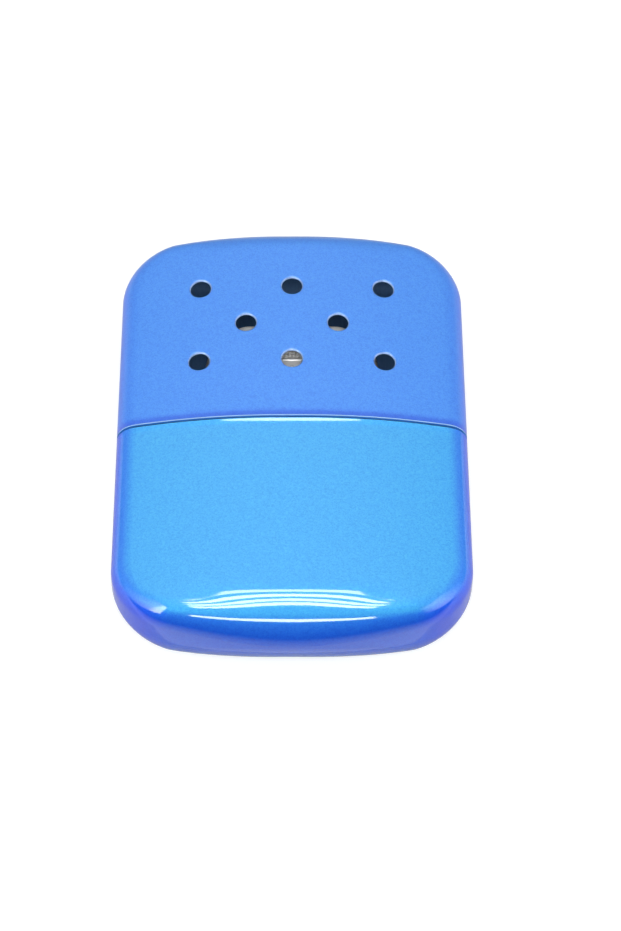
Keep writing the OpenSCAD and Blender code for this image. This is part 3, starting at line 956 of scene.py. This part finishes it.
# %% Hood
hood_lo, hood_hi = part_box("burner_hood")
HOOD_CORNER, HOOD_ARCH, HOOD_ROLL = 7 * MM, 160 * MM, 1.1 * MM
hood_sheet = 0.4 * MM
gauze_lo, gauze_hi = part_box("catalyst_gauze")
GAUZE_LAP = 0.9 * MM
window = (gauze_hi.x - GAUZE_LAP, (gauze_hi.y - gauze_lo.y) / 2 - GAUZE_LAP)
WINDOW_R = 1.6 * MM
# the rings of the bead: how far each lies outside the window's edge and over the sheet, in millimetres
BEAD = ((0.5, 0), (0.42, 0.05), (0.32, 0.09), (0.2, 0.09), (0.08, 0.05), (0, 0.02))
PATCH_WIDER, PATCH_HIGHER = 1.2 * MM, 0.75 * MM
window_y = (gauze_hi.y + gauze_lo.y) / 2
hood_half = hood_hi.x
hood_thick = (hood_hi.z - hood_lo.z) / 2


def hood_width(y, inset=0.0):
    """Half width of the hood's outline at y."""
    centre = hood_hi.y - HOOD_ARCH
    side = hood_half - HOOD_CORNER
    start = centre + math.sqrt((HOOD_ARCH - HOOD_CORNER) ** 2 - side ** 2)
    touch = start + HOOD_CORNER * (start - centre) / (HOOD_ARCH - HOOD_CORNER)
    if y <= start:
        return hood_half - inset
    if y <= touch:
        return side + math.sqrt((HOOD_CORNER - inset) ** 2 - min(y - start, HOOD_CORNER - inset) ** 2)
    return math.sqrt(max(0, (HOOD_ARCH - inset) ** 2 - (y - centre) ** 2))


def hood_section(bm, y, inset=0.0, steps=12, columns=30):
    """The hood's oval section with evenly divided straight sides."""
    r, flat = hood_thick - inset, hood_half - hood_thick
    last = bm.verts.new((0, y, r))
    for i in range(1, columns + 1):
        last = bmesh.ops.extrude_vert_indiv(bm, verts=[last])["verts"][0]
        last.co.x = flat * i / columns
    bmesh.ops.spin(bm, geom=[last], cent=(flat, y, 0), axis=(0, 1, 0), angle=math.pi / 2, steps=steps)
    return whole_ring(bm)


def dome(bm, inset=0.0, roll=HOOD_ROLL):
    """Narrows and thins a straight oval extrusion into the top of the hood."""
    top = hood_hi.y - inset
    w, t = hood_half - inset, hood_thick - inset
    for v in bm.verts:
        x, y, z = v.co
        m = min(1, max(0, (y - hood_hi.y + roll) / (roll - inset))) ** 2
        oval = math.copysign(t * math.sqrt(max(0, 1 - (x / w) ** 2)), z)
        narrow = hood_width(y, inset) / w if y < top - TOUCH else 0
        v.co = (x * narrow, y, half_t + ((1 - m) * z + m * oval) * math.sqrt(1 - m))
    bmesh.ops.remove_doubles(bm, verts=bm.verts[:], dist=WELD)


def pull_to_window(verts, grow, lift, face):
    """Moves points onto a rounded rectangle, grow larger than the window."""
    w, h, r = window[0] + grow, window[1] + grow, WINDOW_R + grow
    patch = max(abs(v.co.x) for v in verts), max(abs(v.co.y - window_y) for v in verts)
    for v in verts:
        x, y = v.co.x * w / patch[0], (v.co.y - window_y) * h / patch[1]
        core = Vector((min(w - r, max(r - w, x)), min(h - r, max(r - h, y))))
        out = Vector((x, y)) - core
        x, y = core + out.normalized() * r
        v.co = (x, window_y + y, half_t + face * (hood_thick + lift))


def cut_window(bm, face):
    """Opens one window; its patch follows the grid, which narrows with the hood."""
    patch = []
    wide, high = window[0] + PATCH_WIDER, window[1] + PATCH_HIGHER
    for f in bm.faces:
        x, y, z = f.calc_center_median()
        column = abs(x) * hood_half / max(hood_width(y), MM)
        if column < wide and abs(y - window_y) < high and face * (z - half_t) > 0:
            patch.append(f)
    border = open_patch(bm, patch)
    for grow, lift in BEAD:
        verts, border, _ = extruded(bm, border)
        pull_to_window(verts, grow * MM, lift * MM, face)


first_row = window_y - window[1] - PATCH_HIGHER
last_row = window_y + window[1] + PATCH_HIGHER
bm = bmesh.new()
ring = even_rings(bm, hood_section(bm, hood_lo.y), hood_lo.y, first_row, 4)
ring = even_rings(bm, ring, first_row, last_row, 16)
closing_rings(bm, ring, last_row, hood_hi.y, 16)
dome(bm)
cut_window(bm, 1)
cut_window(bm, -1)
face_outwards(bm)
hood = new_piece("hood", bm, "burner", [burner_nickel], ["burner_hood"])
wall(hood, hood_sheet)
round_edges(hood, 0.09 * MM, segments=2)
opening = "window %.1f x %.1f mm" % (2 * window[0] / MM, 2 * window[1] / MM)
print("hood:", len(hood.data.polygons), "faces,", opening)

# %% [markdown]
# ## Catalyst mat
#
# The mat fills the hood, all but a small gap. Soft fibre doesn't follow the tight roll of the sheet, so the
# mat's own roll is a little wider.

# %% Catalyst mat
mat_lo, mat_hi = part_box("catalyst_mat")
mat_inset = hood_half - mat_hi.x
MAT_ROLL = 1.6 * MM
roll_start = hood_hi.y - MAT_ROLL
bm = bmesh.new()
ring = hood_section(bm, mat_lo.y, mat_inset, steps=10, columns=44)
bmesh.ops.contextual_create(bm, geom=ring)
ring = even_rings(bm, ring, mat_lo.y, roll_start, 26)
closing_rings(bm, ring, roll_start, mat_hi.y, 12)
dome(bm, mat_inset, MAT_ROLL)
bmesh.ops.triangulate(bm, faces=[f for f in bm.faces if len(f.verts) > 4])
face_outwards(bm)
roughen(bm, 0.12 * MM, 0.7 * MM)
mat = new_piece("catalyst_pad", bm, "burner", [glass_fibre], ["catalyst_mat"])

# %% [markdown]
# ## Wire gauze
#
# Behind each window lies a plain-weave gauze. Modelling every wire by itself would be slow, and they are
# all alike, so one wire is made for each direction: a small ring extruded along X and then waved by a
# cosine. The weave is that wire stamped side by side. Each neighbour is turned over, so that it passes
# under where the last one passed over, and the wires that cross are half a wave out of step. A folded strip
# holds the ends.

# %% One woven wire
WIRE_R = 0.075 * MM
WEAVE = 0.7 * MM
GAUZE_BORDER = 0.75 * MM
GAUZE_T = 0.3 * MM
gauze_size = gauze_hi - gauze_lo


def woven_wire(length):
    """A wire along X that waves up and down by its own radius, a crest on the middle."""
    bm = bmesh.new()
    rim = bmesh.ops.create_circle(bm, segments=6, radius=WIRE_R, cap_ends=True)["verts"]
    bmesh.ops.rotate(bm, verts=rim, cent=(0, 0, 0), matrix=Matrix.Rotation(math.pi / 2, 3, "Y"))
    bmesh.ops.translate(bm, verts=rim, vec=(-length / 2, 0, 0))
    ring = bm.edges[:]
    steps = 4 * round(length / WEAVE)
    for _ in range(steps):
        verts, ring, _ = extruded(bm, ring)
        bmesh.ops.translate(bm, verts=verts, vec=(length / steps, 0, 0))
    bmesh.ops.contextual_create(bm, geom=ring)
    bmesh.ops.recalc_face_normals(bm, faces=bm.faces[:])
    for v in bm.verts:
        v.co.z += WIRE_R * math.cos(math.pi * v.co.x / WEAVE)
    return mesh_of(bm, "woven_wire")


def folded_strip(length, width):
    """The flat frame round a gauze panel."""
    bm = bmesh.new()
    bmesh.ops.create_grid(bm, x_segments=1, y_segments=1, size=0.5)
    bmesh.ops.scale(bm, verts=bm.verts[:], vec=(length, width, 1))
    middle = bm.faces[:]
    frame_faces = bmesh.ops.inset_region(bm, faces=middle, thickness=GAUZE_BORDER)["faces"]
    bmesh.ops.delete(bm, geom=middle, context="FACES_ONLY")
    raised = bmesh.ops.extrude_face_region(bm, geom=frame_faces, use_keep_orig=True)["geom"]
    top = [v for v in raised if isinstance(v, bmesh.types.BMVert)]
    bmesh.ops.translate(bm, verts=top, vec=(0, 0, GAUZE_T))
    bmesh.ops.translate(bm, verts=bm.verts[:], vec=(0, 0, -GAUZE_T / 2))
    bmesh.ops.recalc_face_normals(bm, faces=bm.faces[:])
    return mesh_of(bm, "folded_strip")


def stamp(bm, mesh, place):
    """Adds a copy of a mesh to a bmesh, placed by a matrix."""
    before = len(bm.verts)
    bm.from_mesh(mesh)
    bm.verts.ensure_lookup_table()
    bmesh.ops.transform(bm, matrix=place, verts=bm.verts[before:])


# %% Both gauze panels
def centred(count):
    return range(-(count // 2), count // 2 + 1)


long_wire = woven_wire(gauze_size.x - GAUZE_BORDER)
short_wire = woven_wire(gauze_size.y - GAUZE_BORDER)
strip = folded_strip(gauze_size.x, gauze_size.y)
rows = 2 * int((gauze_size.y - GAUZE_BORDER) / WEAVE / 2) + 1
columns = 2 * int((gauze_size.x - GAUZE_BORDER) / WEAVE / 2) + 1
turned_over = Matrix.Rotation(math.pi, 4, "X")
across = Matrix.Rotation(math.pi / 2, 4, "Z")
bm = bmesh.new()
for face in (1, -1):
    panel = Matrix.Translation((0, window_y, half_t + face * (gauze_size.z - GAUZE_T) / 2))
    stamp(bm, strip, panel)
    for k in centred(rows):
        turn = turned_over if k % 2 else Matrix()
        stamp(bm, long_wire, panel @ Matrix.Translation((0, k * WEAVE, 0)) @ turn)
    for k in centred(columns):
        turn = across @ (Matrix() if k % 2 else turned_over)
        stamp(bm, short_wire, panel @ Matrix.Translation((k * WEAVE, 0, 0)) @ turn)
gauze = new_piece("gauze", bm, "burner", [gauze_steel], ["catalyst_gauze"])
print("gauze: %d x %d wires a panel," % (rows, columns), len(gauze.data.polygons), "faces")

# %% [markdown]
# ## Cross wires
#
# Three wires run through the burner from front to back, and the mat rests on them. They are cut from drawn
# wire and their ends are peened over, so each is a turned profile with a slight dome at both ends.

# %% Wires
wires_lo, wires_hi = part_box("mat_wires")
WIRE_PITCH = 8 * MM
wire_r = (wires_hi.y - wires_lo.y) / 2
wire_y = (wires_hi.y + wires_lo.y) / 2
bm = bmesh.new()
for k in (-1, 0, 1):
    cone = bmesh.ops.create_cone(bm, cap_ends=True, segments=24, radius1=wire_r, radius2=wire_r,
                                 depth=wires_hi.z - wires_lo.z)["verts"]
    bmesh.ops.translate(bm, verts=cone, vec=(k * WIRE_PITCH, wire_y, half_t))
rims = [e for e in bm.edges if abs(e.verts[0].co.z - e.verts[1].co.z) < TOUCH]
bmesh.ops.bevel(bm, geom=rims, offset=0.2 * MM, affect="EDGES", segments=4, profile=0.5, material=-1)
new_piece("cross_wires", bm, "burner", [wire_steel], ["mat_wires"])
